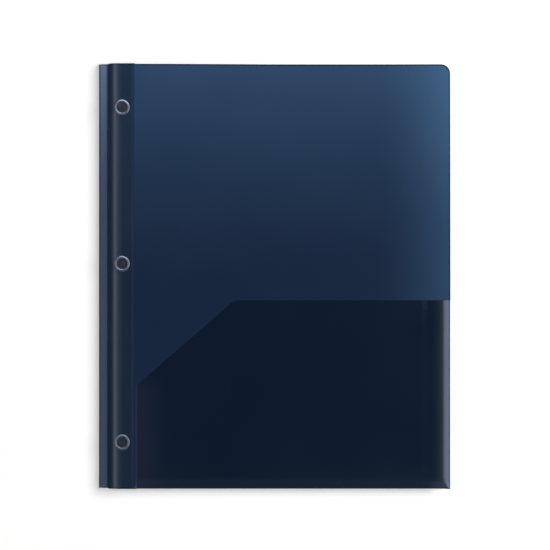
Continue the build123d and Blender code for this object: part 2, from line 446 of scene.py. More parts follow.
# %% The weld showing through
weld_pitch = 2.05 * mm
mark_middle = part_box("front_side_flap")[0].x + 5.8 * mm
band_outside, band_inside = 2.2 * mm, 1.2 * mm
mark_least = 0.25
weld_marks, group_in, group_out = new_group(
    "weld_marks",
    {
        "Middle": mark_middle,
        "Top": pocket_high.y,
        "Pitch": weld_pitch,
        "Start": 7 * mm,
        "End": 24 * mm,
    },
    ["Mark"],
)
place = add_node(weld_marks, "SeparateXYZ", group_in["Vector"]).outputs
off_middle = calc(weld_marks, "ABSOLUTE", calc(weld_marks, "SUBTRACT", place["X"], group_in["Middle"]))
in_band = fade(weld_marks, off_middle, band_outside, band_inside)
below = calc(weld_marks, "SUBTRACT", group_in["Top"], place["Y"])
turns = calc(weld_marks, "MULTIPLY", calc(weld_marks, "DIVIDE", below, group_in["Pitch"]), 2 * math.pi)
bar = calc(weld_marks, "MULTIPLY_ADD", calc(weld_marks, "COSINE", turns), 0.5, -0.5)
in_bars = calc(weld_marks, "GREATER_THAN", below, group_in["Start"])
bars = calc(weld_marks, "MULTIPLY_ADD", in_bars, bar, 1.0)
fading = fade(weld_marks, below, group_in["End"], group_in["Start"], mark_least, 1.0)
mark = calc(weld_marks, "MULTIPLY", calc(weld_marks, "MULTIPLY", in_band, bars), fading)
weld_marks.links.new(mark, group_out["Mark"])
print(weld_marks.name, len(weld_marks.nodes), "nodes")

# %% [markdown]
# Every sheet piece is the same navy plastic, with more or less light behind it. A picture painted
# over each piece could show that, but no single effect in it could be changed later. So the
# colour is built up from masks: an effect adds a little colour where light comes through, and
# multiplies it where something stops the light.

# %% Colours and masks
deep_navy = (0.0092, 0.0224, 0.0565, 1)
# The blue of the painted light that comes in at the open edges.
edge_light_blue = (0.0195, 0.047, 0.0895, 1)
line_shade = (0.32, 0.36, 0.42, 1)


def blend_colour(tree, how, share, first, second):
    """Two colours mixed in one of the usual ways."""
    mix = tree.nodes.new("ShaderNodeMix")
    mix.data_type = "RGBA"
    mix.clamp_factor = False
    mix.blend_type = how
    sockets = {s.identifier: s for s in mix.inputs}
    for identifier, value in (("Factor_Float", share), ("A_Color", first), ("B_Color", second)):
        if isinstance(value, bpy.types.NodeSocket):
            tree.links.new(value, sockets[identifier])
        else:
            sockets[identifier].default_value = value
    return {s.identifier: s for s in mix.outputs}["Result_Color"]


def both(tree, first, second):
    """Where two masks overlap."""
    return calc(tree, "MULTIPLY", first, second)


# %% [markdown]
# The sheet, the rivets and the steel start alike. Each has one Principled shader that reads object
# coordinates, and gets a colour, a roughness and a fine relief. The relief is a bump, because in
# the mesh it would take millions of faces. Each material could be wired by itself, but these
# helpers do it once for all three.

# %% What the materials share
tone_low, tone_high = 0.3, 0.7


def new_material(name):
    """A material, with its tree, its shader and coordinates that stay with the piece."""
    material = bpy.data.materials.new(name)
    material.use_nodes = True
    tree = material.node_tree
    coordinates = add_node(tree, "TexCoord").outputs["Object"]
    return material, tree, tree.nodes["Principled BSDF"], coordinates


def spread_tone(tree, tone, low, high):
    """The middle range of a noise, spread out between two values."""
    return add_node(tree, "MapRange", tone, tone_low, tone_high, low, high).outputs["Result"]


def give_surface(tree, shader, colour, rough, height, strength, depth):
    """A colour, a roughness and a fine relief, wired to the shader."""
    tree.links.new(colour, shader.inputs["Base Color"])
    tree.links.new(rough, shader.inputs["Roughness"])
    bump = add_node(tree, "Bump", strength, depth)
    tree.links.new(height, bump.inputs["Height"])
    tree.links.new(bump.outputs["Normal"], shader.inputs["Normal"])


# %% [markdown]
# The sheet has a satin shine, which changes a little with the slow waves, and a colour that the
# same waves mottle by a few hundredths. The covers, the inner pieces and the spine could have
# three shaders of their own, but only their colour differs, because what lies behind them
# differs. So one function makes the plastic, and each kind of piece hands in its paint.

# %% The satin plastic
mottle = 0.03


def sheet_material(name, paint, smoothest, roughest):
    """Satin navy plastic; paint makes its colour from the tree and the object coordinates."""
    material, tree, shader, coordinates = new_material(name)
    grain = use_group(tree, satin_grain, coordinates)
    mottled = add_node(tree, "VectorMath", paint(tree, coordinates), operation="SCALE")
    tree.links.new(spread_tone(tree, grain["Tone"], 1 - mottle, 1 + mottle), mottled.inputs["Scale"])
    rough = spread_tone(tree, grain["Tone"], smoothest, roughest)
    give_surface(tree, shader, mottled.outputs["Vector"], rough, grain["Height"], 0.25, 0.02 * mm)
    shader.inputs["IOR"].default_value = 1.49
    print(name, len(tree.nodes), "nodes")
    return material


# %% [markdown]
# Beside the pocket the cover turns down in a soft fold. Light comes through there, and it is painted
# in: bluer on the turn, with a paler ramp of painted highlight before it. Along the pocket's left
# edge the cover drapes over the edge, which shows as a painted fine light line and a faint painted
# sheen to the right of it. Each of these is a soft step between two places on the cover, named here
# for where it lies.

# %% Folds and edges on a cover
side_fold_low, side_fold_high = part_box("front_side_fold")
fold_turn = (side_fold_low.x + 2 * mm, right_edge - 1 * mm)
fold_ramp = (right_edge - 12 * mm, right_edge - 5.5 * mm)
sheen_across = (22 * mm, 0.0)
sheen_top = (slant_low + 10 * mm, slant_low - 8 * mm)
ridge_left, ridge_right = (-1.4 * mm, -0.7 * mm), (0.3 * mm, -0.3 * mm)
ridge_top = (slant_low + 0.5 * mm, slant_low - 1.5 * mm)
# Painted light on the side fold: a bluer turn, and a paler ramp of painted highlight before it.
fold_glow_blue = (0.001, 0.008, 0.045, 1)
ramp_highlight_blue = (0.0098, 0.0125, 0.014, 1)
# Painted reflections along the pocket's left edge: a faint sheen, and a fine highlight line.
sheen_grey = (0.0072, 0.006, 0.0115, 1)
ridge_highlight_grey = (0.012, 0.008, 0.009, 1)


def side_fold_paint(tree, colour, across, pocket):
    """The side fold's painted light: bluer on its turn, a painted highlight on the ramp before it."""
    on_turn = both(tree, fade(tree, across, *fold_turn), pocket)
    colour = blend_colour(tree, "ADD", on_turn, colour, fold_glow_blue)
    on_ramp = both(tree, fade(tree, across, *fold_ramp), pocket)
    return blend_colour(tree, "ADD", on_ramp, colour, ramp_highlight_blue)


def pocket_edge_paint(tree, colour, across, along, pocket):
    """The pocket's left edge below the slant: a painted sheen, and a painted highlight line along the edge
    itself.
    """
    past_edge = calc(tree, "SUBTRACT", across, pocket_low.x)
    sheen = both(tree, fade(tree, past_edge, *sheen_across), pocket)
    sheen = both(tree, sheen, fade(tree, along, *sheen_top))
    colour = blend_colour(tree, "ADD", sheen, colour, sheen_grey)
    ridge = both(tree, fade(tree, past_edge, *ridge_left), fade(tree, past_edge, *ridge_right))
    ridge = both(tree, ridge, fade(tree, along, *ridge_top))
    return blend_colour(tree, "ADD", ridge, colour, ridge_highlight_grey)


# %% [markdown]
# Above the pocket the front cover's open edge spreads a little as the cover sags, and near the
# spine its top edge is cut a little short. The painted shade of the dark line could keep to the
# plain outline, but it would then leave the edge. So the outline's half width and half height
# change along the cover, by the same sums that shape the cover later on. At the bottom fold
# nothing is cut, and there the line stays faint.

# %% The line of a cover's edge
free_height = top_edge - pocket_high.y
edge_spread = 0.45 * mm
top_cut, top_cut_run = 0.43 * mm, 125 * mm
bottom_line = 0.2


def cover_line(tree, coordinates, across, along, off_bottom):
    """The painted shade of a dark line along a cover's cut edge, as a mask."""
    above = calc(tree, "MAXIMUM", calc(tree, "SUBTRACT", along, pocket_high.y), 0.0)
    part_way = calc(tree, "DIVIDE", above, free_height)
    spread = calc(tree, "MULTIPLY", both(tree, part_way, part_way), edge_spread)
    half_width = calc(tree, "ADD", spread, folder_width / 2)
    towards_spine = calc(tree, "DIVIDE", calc(tree, "SUBTRACT", right_edge, across), top_cut_run)
    cut_short = calc(tree, "MULTIPLY", calc(tree, "MINIMUM", towards_spine, 1.0), -top_cut)
    at_top = calc(tree, "GREATER_THAN", along, 0.0)
    half_height = calc(tree, "MULTIPLY_ADD", cut_short, at_top, folder_height / 2)
    outline = use_group(tree, cut_edge_shade, coordinates, half_width=half_width, half_height=half_height)
    strength = calc(tree, "MULTIPLY_ADD", off_bottom, 1 - bottom_line, bottom_line)
    return both(tree, outline["Line"], strength)


# %% [markdown]
# A cover's colour is put together from the effects above. First comes the light from behind, then
# the pocket that stops it, then the fine marks on top. The bottom edge and the bottom outer corner
# turn down, and there painted light makes them a little paler. The painted shade of the cut edge's
# line comes last and darkens everything. The slant is painted a little higher than the pocket's own
# edge, where it is seen.

# %% The covers' paint
seen_slant = slant_low + 0.65 * mm
corner_across = (right_edge - 18 * mm, right_edge - 9 * mm)
corner_along = (bottom_edge + 7 * mm, bottom_edge + 2 * mm)
bottom_turn = (bottom_edge + 0.5 * mm, bottom_edge + 1.8 * mm)
pocket_shade = (0.4, 0.5, 0.51, 1)
weld_grey = (0.006, 0.006, 0.008, 1)
# Painted light on the turned-down bottom outer corner and along the bottom edge.
corner_light_blue = (0.009, 0.016, 0.03, 1)
turn_light_blue = (0.005, 0.009, 0.013, 1)


def cover_paint(tree, coordinates):
    """Deep navy with painted light at the open edges, painted shade over the pocket, and a painted dark
    line at the cut edge.
    """
    place = add_node(tree, "SeparateXYZ", coordinates).outputs
    across, along = place["X"], place["Y"]
    pocket = use_group(tree, behind_cover, coordinates, slant_low=seen_slant)["Pocket"]
    light = use_group(tree, edge_light, coordinates)["Share"]
    mark = use_group(tree, weld_marks, coordinates)["Mark"]
    clear = calc(tree, "SUBTRACT", 1.0, pocket)
    colour = blend_colour(tree, "ADD", both(tree, light, clear), deep_navy, edge_light_blue)
    colour = blend_colour(tree, "MULTIPLY", pocket, colour, pocket_shade)
    colour = side_fold_paint(tree, colour, across, pocket)
    colour = blend_colour(tree, "ADD", both(tree, mark, pocket), colour, weld_grey)
    colour = pocket_edge_paint(tree, colour, across, along, pocket)
    at_corner = both(tree, fade(tree, across, *corner_across), fade(tree, along, *corner_along))
    colour = blend_colour(tree, "ADD", at_corner, colour, corner_light_blue)
    off_bottom = fade(tree, along, *bottom_turn)
    colour = blend_colour(tree, "ADD", calc(tree, "SUBTRACT", 1.0, off_bottom), colour, turn_light_blue)
    line = cover_line(tree, coordinates, across, along, off_bottom)
    return blend_colour(tree, "MULTIPLY", line, colour, line_shade)


cover_navy = sheet_material("cover_navy", cover_paint, 0.11, 0.15)

# %% [markdown]
# The pockets, the flaps and the inner strip have other layers on both sides, so no light comes
# through and they stay deep navy. They need only the painted shade of a dark line at their cut
# edges. For the pocket's own edges the group that draws the pocket serves again, with a softer border.

# %% The inner pieces' paint
pocket_line_width = 1.8 * mm


def inner_paint(tree, coordinates):
    """Deep navy with painted shade as a dark line at the cut edges."""
    inside = use_group(tree, behind_cover, coordinates, softness=pocket_line_width)["Pocket"]
    pocket_line = calc(tree, "MULTIPLY", calc(tree, "SUBTRACT", 1.0, inside), 2.0)
    outer_line = use_group(tree, cut_edge_shade, coordinates)["Line"]
    line = calc(tree, "MINIMUM", calc(tree, "MAXIMUM", pocket_line, outer_line), 1.0)
    return blend_colour(tree, "MULTIPLY", line, deep_navy, line_shade)


inner_navy = sheet_material("inner_navy", inner_paint, 0.11, 0.15)

# %% [markdown]
# The spine's lip lies on the white table and lets most light through; that light is painted in as
# a clear blue that turns pale near the top, and a little of it is painted on the flank. The raised
# strip has the second strip behind it and is the darkest part, and the thin groove gets a little
# painted light again. The spine is set a little rougher than the covers, because its highlights
# are softer. A material for each part would show seams, so one material with soft steps across it
# serves the whole spine.

# %% The spine's paint
lip_run = (left_edge + 6.3 * mm, left_edge + 3.8 * mm)
lip_rise = (left_edge + 6.3 * mm, left_edge + 1.8 * mm)
flank_run = (left_edge + 10 * mm, left_edge + 7 * mm)
strip_light = 0.25
strip_navy = (0.0038, 0.0157, 0.0388, 1)
# Painted light on the groove, the flank and the lip, and the lip's glow near the top.
groove_light_blue = (0.006, 0.011, 0.024, 1)
flank_light_blue = (0.0, 0.01, 0.028, 1)
lip_light_blue = (0.0, 0.024, 0.083, 1)
lip_glow = (0.155, 0.27, 0.46, 1)


def spine_paint(tree, coordinates):
    """Painted light: a clear blue on the lip and a little on the flank and groove, deep navy on the raised
    strip, with a painted dark line at the cut edge.
    """
    across = add_node(tree, "SeparateXYZ", coordinates).outputs["X"]
    light = use_group(tree, edge_light, coordinates)["Share"]
    line = use_group(tree, cut_edge_shade, coordinates)["Line"]
    colour = blend_colour(tree, "ADD", calc(tree, "MULTIPLY", light, strip_light), strip_navy, edge_light_blue)
    colour = blend_colour(tree, "ADD", fade(tree, across, panel_end, cover_start), colour, groove_light_blue)
    colour = blend_colour(tree, "ADD", fade(tree, across, *flank_run), colour, flank_light_blue)
    colour = blend_colour(tree, "ADD", fade(tree, across, *lip_rise), colour, lip_light_blue)
    glowing = both(tree, both(tree, light, light), fade(tree, across, *lip_run))
    colour = blend_colour(tree, "ADD", glowing, colour, lip_glow)
    return blend_colour(tree, "MULTIPLY", line, colour, line_shade)


spine_navy = sheet_material("spine_navy", spine_paint, 0.2, 0.25)

# %% [markdown]
# All the sheet pieces are modelled the same way. A sheet could be drawn as a closed solid, but a
# single surface is easier to bend. A primitive is put down at its size and place, and its points
# are moved or its edges drawn out in edit mode. These helpers keep each later step short.

# %% Shape a surface
def new_plane(name, centre, size, turn=0.0):
    """A rectangle, turned about the Y axis and left in edit mode with nothing selected."""
    bpy.ops.object.select_all(action="DESELECT")
    bpy.ops.mesh.primitive_plane_add(size=1, location=centre, rotation=(0, turn, 0))
    piece = bpy.context.object
    piece.name = name
    piece.scale = (*size, 1)
    bpy.ops.object.transform_apply(location=True, rotation=True, scale=True)
    bpy.ops.object.mode_set(mode="EDIT")
    bpy.ops.mesh.select_mode(type="VERT")
    bpy.ops.mesh.select_all(action="DESELECT")
    return piece


def select_where(piece, test):
    """In edit mode, selects the points whose place passes a test, with the edges between them."""
    mesh = bmesh.from_edit_mesh(piece.data)
    for point in mesh.verts:
        point.select = test(point.co)
    mesh.select_flush_mode()
    bmesh.update_edit_mesh(piece.data)


def select_near(piece, places, reach):
    """In edit mode, selects the points that lie close to any of some places in the plane."""
    select_where(piece, lambda point: any(math.dist(point.xy, place) < reach for place in places))


def draw_out(step):
    """Extrudes the selected edges by a step in x, y and z."""
    bpy.ops.mesh.extrude_edges_move(TRANSFORM_OT_translate={"value": step})


def leave_edit():
    """Closes the seams, turns the faces alike and goes back to object mode."""
    bpy.ops.mesh.select_all(action="SELECT")
    bpy.ops.mesh.remove_doubles(threshold=0.1 * nearly)
    bpy.ops.mesh.normals_make_consistent(inside=False)
    bpy.ops.object.mode_set(mode="OBJECT")


# %% [markdown]
# Even a sharp die leaves an edge that catches the light, so the cut edges of every piece are
# rounded a little. A Bevel modifier could do that, but some edges have to stay sharp, where two
# pieces meet. So the sharp edges are selected by their angle, those to keep are left out by their
# place, and the rest are bevelled.

# %% Round the cut edges
sharp_from, smooth_to = math.radians(50), math.radians(20)


def round_edges(piece, width, keep=None):
    """Rounds the sharp edges of a finished shape, except those that keep picks by their middle."""
    bpy.context.view_layer.objects.active = piece
    bpy.ops.object.mode_set(mode="EDIT")
    bpy.ops.mesh.select_mode(type="EDGE")
    bpy.ops.mesh.select_all(action="DESELECT")
    bpy.ops.mesh.edges_select_sharp(sharpness=sharp_from)
    if keep:
        mesh = bmesh.from_edit_mesh(piece.data)
        for edge in mesh.edges:
            if keep((edge.verts[0].co + edge.verts[1].co) / 2):
                edge.select = False
        mesh.select_flush_mode()
        bmesh.update_edit_mesh(piece.data)
    bpy.ops.mesh.bevel(offset=width, segments=2, affect="EDGES", clamp_overlap=True)
    bpy.ops.object.mode_set(mode="OBJECT")
    bpy.ops.object.select_all(action="DESELECT")
    piece.select_set(True)
    bpy.ops.object.shade_smooth_by_angle(angle=smooth_to)


# %% [markdown]
# A surface gets its thickness from a Solidify modifier, half to each side. Extruding it by hand
# would do the same, but not evenly round a bend. A finished piece also needs a material, and the
# solids that it stands for are hidden.

# %% Thicken and dress
sheet_edge = 0.12 * mm


def apply_modifier(piece, kind, **options):
    """A modifier added, set and applied."""
    bpy.context.view_layer.objects.active = piece
    modifier = piece.modifiers.new(kind.lower(), kind)
    for name, value in options.items():
        setattr(modifier, name, value)
    bpy.ops.object.modifier_apply(modifier=modifier.name)


def thicken(piece, thickness=sheet, edge=sheet_edge, keep=None):
    """A surface made a sheet of this thickness, with its cut edges just rounded."""
    apply_modifier(piece, "SOLIDIFY", thickness=thickness, offset=0, use_even_offset=True)
    round_edges(piece, edge, keep)


def dress(piece, material, slot, *nodes):
    """A finished piece gets its material, and the solids that it stands for are hidden; the slot is not
    used.
    """
    piece.data.materials.clear()
    piece.data.materials.append(material)
    if nodes:
        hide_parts(*nodes)
    size = [round(v / mm, 2) for v in piece.dimensions]
    print(piece.name, len(piece.data.polygons), "faces,", size, "mm")


# %% [markdown]
# Each cover runs into a soft fold at the bottom and, beside the pocket, at the open edge. The
# sheet rolls over there without a crease, in section a quarter of an oval. A bevel would give a
# round section and not an oval one, so the rows of the roll are worked out from the oval's
# angles. Near the bottom outer corner both folds get narrower, as a sheet folded two ways does.

# %% The soft folds
bottom_fold_low, bottom_fold_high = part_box("front_bottom_fold")
side_reach = right_edge - sheet / 2 - side_fold_low.x
side_half = (side_fold_high.z - side_fold_low.z - sheet) / 2
bottom_reach = bottom_fold_high.y - sheet / 2 - bottom_edge
bottom_half = (bottom_fold_high.z - bottom_fold_low.z - sheet) / 2
corner_taper = 8.5 * mm
corner_least = 0.32
corner_loss = 0.72
corner_run = (side_fold_low.x - 2 * mm, right_edge - 2 * mm)
groove_run = (pocket_low.x - 1.6 * mm, pocket_low.x)


def roll_angles(reach, half):
    """The oval's angles for a roll: even ones, with more where the sheet turns fastest."""
    even = [math.pi / 2 * step / 8 for step in range(9)]
    by_tilt = [math.atan2(math.tan(math.pi / 2 * step / 16) * reach, half) for step in range(1, 16)]
    return sorted(even + by_tilt)


def smooth(value, start, end):
    """A soft step from 0 at start to 1 at end."""
    share = min(1, max(0, (value - start) / (end - start)))
    return share * share * (3 - 2 * share)


def side_roll(y):
    """How much of the side fold there is at a height: it narrows towards the bottom corner."""
    share = min(1, max(0, (y - bottom_edge) / corner_taper))
    return corner_least + (1 - corner_least) * math.sin(math.pi / 2 * share)


def bottom_roll(x):
    """How much of the bottom fold there is across: none beside the groove, less at the corner."""
    return smooth(x, *groove_run) * (1 - corner_loss * smooth(x, *corner_run))


side_quarter = roll_angles(side_reach, side_half)
bottom_quarter = roll_angles(bottom_reach, bottom_half)
print("rolls of", len(side_quarter), "and", len(bottom_quarter), "rows")

# %% [markdown]
# Above the pocket nothing holds the front cover up, so it sags towards the top right until it
# rests on the back cover. A cloth simulation could find that shape, and would find it a little
# different each time something changes. Here the sag follows a curve across the width that starts
# and ends level, and grows up the height with the square of the distance from the pocket.

# %% The front cover's sag
sag_bend = (0.2, 0.5)


def sag_share(x, start):
    """The share of the sag at a place across the cover, from 0 at its hinge to 1 at the open edge."""
    wanted = (x - start) / (right_edge - start)
    low, high = 0.0, 1.0
    for _ in range(40):
        t = (low + high) / 2
        across = 3 * sag_bend[0] * t * (1 - t) ** 2 + 3 * sag_bend[1] * t * t * (1 - t) + t**3
        low, high = (t, high) if across < wanted else (low, t)
    return 3 * t * t - 2 * t**3


middle_of_cover = (cover_start + right_edge) / 2
print("share of the sag half way across", round(sag_share(middle_of_cover, cover_start), 3))

# %% [markdown]
# The covers bend both ways, so each is made of grids, with rows and columns close together where
# the sheet turns. A plane that is subdivided and pulled into shape would be quicker, but its
# points wouldn't lie on the folds. Here every point of a grid is put in its place by a function,
# and grids whose border points coincide are joined to one piece.

# %% Grids and joins
fold_step = 0.2 * mm


def grid_piece(name, columns, rows, place_point):
    """A grid primitive with a point for each column and row, each put in its place."""
    bpy.ops.object.select_all(action="DESELECT")
    bpy.ops.mesh.primitive_grid_add(x_subdivisions=len(columns) - 1, y_subdivisions=len(rows) - 1, size=1)
    piece = bpy.context.object
    piece.name = name
    for number, point in enumerate(piece.data.vertices):
        row, column = divmod(number, len(columns))
        point.co = place_point(columns[column], rows[row])
    return piece


def join_pieces(first, *others):
    """Several pieces made one, with the points that coincide merged."""
    bpy.ops.object.select_all(action="DESELECT")
    for piece in (first, *others):
        piece.select_set(True)
    bpy.context.view_layer.objects.active = first
    bpy.ops.object.join()
    bpy.ops.object.mode_set(mode="EDIT")
    leave_edit()
    return first


def flat_columns(start):
    """The places across a cover's flat part, close together where the bottom fold begins."""
    run = side_fold_low.x - start
    even = [start + run * step / 40 for step in range(40)]
    fold_start = [pocket_low.x + step * fold_step for step in range(-8, 3)]
    return sorted(set(even + [x for x in fold_start if x > start + nearly]))


# %% [markdown]
# A cover has two stretches. Beside the pocket it rolls over at the bottom and at the open edge.
# Above the pocket its edges are cut, and its top corner is rounded. One grid could carry both,
# but beside the pocket's top the sheet is slit, so each stretch is a grid of its own. A column
# or row in a roll is known by its angle, and elsewhere by its place.

# %% The stretch beside the pocket
low_rows = (8.5, 10, 12, 14, 17, 20)
straight_rows = 8


def pocket_stretch(name, start, middle, inward):
    """The lower part of a cover. Inward is -1 if the pocket lies below the cover, or 1."""

    def rolled_point(column, row):
        x, angle = column
        y, roll = row
        drop = 0
        if roll is not None:
            share = bottom_roll(right_edge - side_reach * (1 - math.sin(angle)) if x is None else x)
            y = bottom_edge + share * sheet / 2 + bottom_reach * (1 - math.sin(roll))
            drop = bottom_half * share * (1 - math.cos(roll))
        if angle is not None:
            size = side_roll(y)
            x = right_edge - sheet / 2 - side_reach * size * (1 - math.sin(angle))
            drop += side_half * size * (1 - math.cos(angle))
        return x, y, middle + inward * drop

    columns = [(x, None) for x in flat_columns(start)] + [(None, angle) for angle in side_quarter]
    rows = [(None, roll) for roll in reversed(bottom_quarter)]
    rows += [(bottom_edge + height * mm, None) for height in low_rows]
    straight = (pocket_high.y - rows[-1][0]) / straight_rows
    rows += [(pocket_high.y - straight * step, None) for step in range(straight_rows - 1, -1, -1)]
    return grid_piece(name, columns, rows, rolled_point)


# %% [markdown]
# In the free stretch above, a row is known by its height and by how far right it reaches: all
# the way, or less beside the rounded corner. The columns of the last part are shared out over
# that reach. Then each point sinks by its sag, spreads outwards with it, and moves down a little
# where the top edge is cut short. For the back cover, which lies flat, all three are 0.

# %% The stretch above the pocket
free_rows, corner_rows, edge_columns = 16, 10, 8


def free_stretch(name, start, middle, inward, sag, spread, cut):
    """The upper part of a cover, with its sag, the spread of its open edge and its shorter top."""

    def free_point(column, row):
        x, along = column
        y, reach = row
        if x is None:
            x = side_fold_low.x + along * (reach - side_fold_low.x)
        part_way = (y - pocket_high.y) / free_height
        share = sag_share(x, start) * part_way**2
        y -= cut * part_way**2 * min(1, (right_edge - x) / top_cut_run)
        return x + spread * share, y, middle + inward * sag * share

    columns = [(x, None) for x in flat_columns(start)]
    columns += [(None, step / edge_columns) for step in range(edge_columns + 1)]
    corner_start = top_edge - corner_radius
    straight = (corner_start - pocket_high.y) / free_rows
    rows = [(pocket_high.y + straight * step, right_edge) for step in range(free_rows + 1)]
    for angle in (math.pi / 2 * step / corner_rows for step in range(1, corner_rows + 1)):
        reach = right_edge - corner_radius * (1 - math.cos(angle))
        rows.append((corner_start + corner_radius * math.sin(angle), reach))
    return grid_piece(name, columns, rows, free_point)


# %% [markdown]
# The two stretches become one sheet. The edges at the slit stay sharp, because a bevel would open
# it. The back cover lies on the table with its pocket above it. The front cover hangs from the
# groove with its pocket below, and its sag stops just short of the back cover. Each cover rides
# on its own half of the folder.

# %% Put the covers in
slit_start, slit_half = side_fold_low.x - 1 * mm, 0.3 * mm


def cover_sheet(name, start, middle, inward, sag, spread, cut):
    """A cover with its rolls, as one sheet."""
    lower = pocket_stretch(name, start, middle, inward)
    upper = free_stretch(name + "_free", start, middle, inward, sag, spread, cut)
    piece = join_pieces(lower, upper)
    thicken(piece, keep=lambda place: abs(place.y - pocket_high.y) < slit_half and place.x > slit_start)
    return piece


front_middle = cover_top - sheet / 2
back_middle = sheet / 2
rest_gap = 0.3 * mm
front_sag = cover_top - 2 * sheet - rest_gap
front_form = (front_sag, edge_spread, top_cut)
back_sheet = cover_sheet("back_cover_sheet", pivots["spine_fold"].x, back_middle, 1, 0, 0, 0)
front_sheet = cover_sheet("front_cover_sheet", cover_start, front_middle, -1, *front_form)
dress(back_sheet, cover_navy, "navy_poly", "back_cover", "back_bottom_fold", "back_side_fold")
dress(front_sheet, cover_navy, "navy_poly", "front_cover", "front_bottom_fold", "front_side_fold")
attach(back_sheet, "back_half")
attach(front_sheet, "front_half")

# %% [markdown]
# Each pocket is the same sheet, carried on round the bottom fold. It could be one grid with the
# cover, but then its slanted corner would be hard to cut. So a rectangle is cut off along the
# slant, the slant's two corners are rounded, and the bottom edge is drawn out through the rest of
# the roll until it meets the cover's part of it.

# %% The pockets
slant_rounding = 4 * mm
fold_corner = right_edge - 2.4 * mm


def pocket_sheet(name, node, outward):
    """A pocket with half of its bottom fold. Outward is 1 if its cover lies above it, or -1."""
    low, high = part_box(node)
    piece = new_plane(name, (low + high) / 2, (high.x - low.x, high.y - low.y))
    bpy.ops.mesh.select_all(action="SELECT")
    across_slant = Vector((-slant_slope, 1, 0)).normalized()
    bpy.ops.mesh.bisect(plane_co=(low.x, slant_low, 0), plane_no=across_slant, clear_outer=True)
    slant_ends = ((low.x, slant_low), (low.x + slant_width, high.y))
    select_near(piece, slant_ends, 0.1 * mm)
    bpy.ops.mesh.bevel(offset=slant_rounding, segments=10, affect="VERTICES")
    select_where(piece, lambda place: place.y < low.y + nearly)
    for angle, following in zip(bottom_quarter, bottom_quarter[1:]):
        back = -bottom_reach * (math.sin(following) - math.sin(angle))
        up = bottom_half * (math.cos(angle) - math.cos(following))
        draw_out((0, back, outward * up))
    select_where(piece, lambda place: place.y < low.y + nearly and place.x > high.x - nearly)
    draw_out((fold_corner - high.x, 0, 0))
    leave_edit()
    thicken(piece)
    return piece


# %% [markdown]
# The two pockets are alike but for the side that their cover is on. A mirrored copy would do, but
# it turns the faces inside out, so the helper is called for each with its own side.

# %% Put the pockets in
for half, outward in (("back", -1), ("front", 1)):
    pocket = pocket_sheet(f"{half}_pocket_sheet", f"{half}_pocket", outward)
    dress(pocket, inner_navy, "navy_poly", f"{half}_pocket")
    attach(pocket, f"{half}_half")

# %% [markdown]
# Each pocket is closed at the side by a flap that is welded to it. The weld is a row of short bars
# pressed in by a hot knurled tool. A bump could hint at the bars, but from the side they would be
# missing. So each bar is a face of the flap, set in and pushed down on the side that the tool
# touched.

# %% The weld's bars
weld_width, weld_bar = 7 * mm, 1.0 * mm
weld_depth, weld_wall = 0.12 * mm, 0.06 * mm


def press_weld(piece, bars, weld_middle, outward):
    """Presses the bars of a weld into the face that looks away from the cover."""
    bpy.ops.object.mode_set(mode="EDIT")
    bpy.ops.mesh.select_mode(type="FACE")
    mesh = bmesh.from_edit_mesh(piece.data)
    for face in mesh.faces:
        middle = face.calc_center_median()
        on_bar = any(abs(middle.y - bar) < 0.1 * weld_bar for bar in bars)
        on_row = abs(middle.x - weld_middle) < 0.1 * weld_width
        face.select = on_bar and on_row and face.normal.z * outward < -0.9
    mesh.select_flush_mode()
    bmesh.update_edit_mesh(piece.data)
    bpy.ops.mesh.inset(thickness=weld_wall, depth=-weld_depth, use_individual=True)
    bpy.ops.object.mode_set(mode="OBJECT")


# %% [markdown]
# The flap itself comes from the cover's open edge. It could be a plain rectangle, but then the bars
# would have to be cut into it afterwards, so it is a grid with a row for each bar. Its two free
# corners are rounded, and its outer edge is drawn out through the inner half of the side fold
# until it meets the cover.

# %% The side flaps
weld_margin = 5 * mm
flap_rounding = 2.5 * mm


def flap_sheet(name, node, outward):
    """A side flap with its weld and the inner half of the side fold. Outward is as for the pocket."""
    low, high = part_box(node)
    bar_count = int((high.y - low.y - 2 * weld_margin) / weld_pitch) + 1
    first_bar = (low.y + high.y) / 2 - (bar_count - 1) / 2 * weld_pitch
    bars = [first_bar + number * weld_pitch for number in range(bar_count)]
    weld_middle = (low.x + high.x) / 2
    columns = [low.x, weld_middle - weld_width / 2, weld_middle + weld_width / 2, high.x]
    rows = [low.y, *(bar + side * weld_bar / 2 for bar in bars for side in (-1, 1)), high.y]
    level = (low.z + high.z) / 2
    piece = grid_piece(name, columns, rows, lambda x, y: (x, y, level))
    bpy.ops.object.mode_set(mode="EDIT")
    bpy.ops.mesh.select_mode(type="VERT")
    select_near(piece, ((low.x, low.y), (low.x, high.y)), nearly)
    bpy.ops.mesh.bevel(offset=flap_rounding, segments=6, affect="VERTICES")
    select_where(piece, lambda place: place.x > high.x - nearly)
    for angle, following in zip(side_quarter, side_quarter[1:]):
        along = side_reach * (math.sin(following) - math.sin(angle))
        up = side_half * (math.cos(angle) - math.cos(following))
        draw_out((along, 0, outward * up))
    leave_edit()
    thicken(piece)
    press_weld(piece, bars, weld_middle, outward)
    return piece


# %% [markdown]
# Like the pockets, the flaps differ in the side that their cover is on. They stay with their half
# of the folder when it opens.

# %% Put the flaps in
for half, outward in (("back", -1), ("front", 1)):
    flap = flap_sheet(f"{half}_flap_sheet", f"{half}_side_flap", outward)
    dress(flap, inner_navy, "navy_poly", f"{half}_side_flap")
    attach(flap, f"{half}_half")

# %% [markdown]
# The spine is the same sheet, bent along its length: a low lip, a tight crease, a steep flank, a
# tight knee, a rounded shoulder, and a gentle crown that runs into the flat panel under the ring
# heads. A drawn section could be extruded, but then one wrong point makes a dent. Here the spine
# is planned as on a bending machine: each bend has the tilts before and after it, a radius and a
# number of steps, and the flank's length follows from the height that is left.

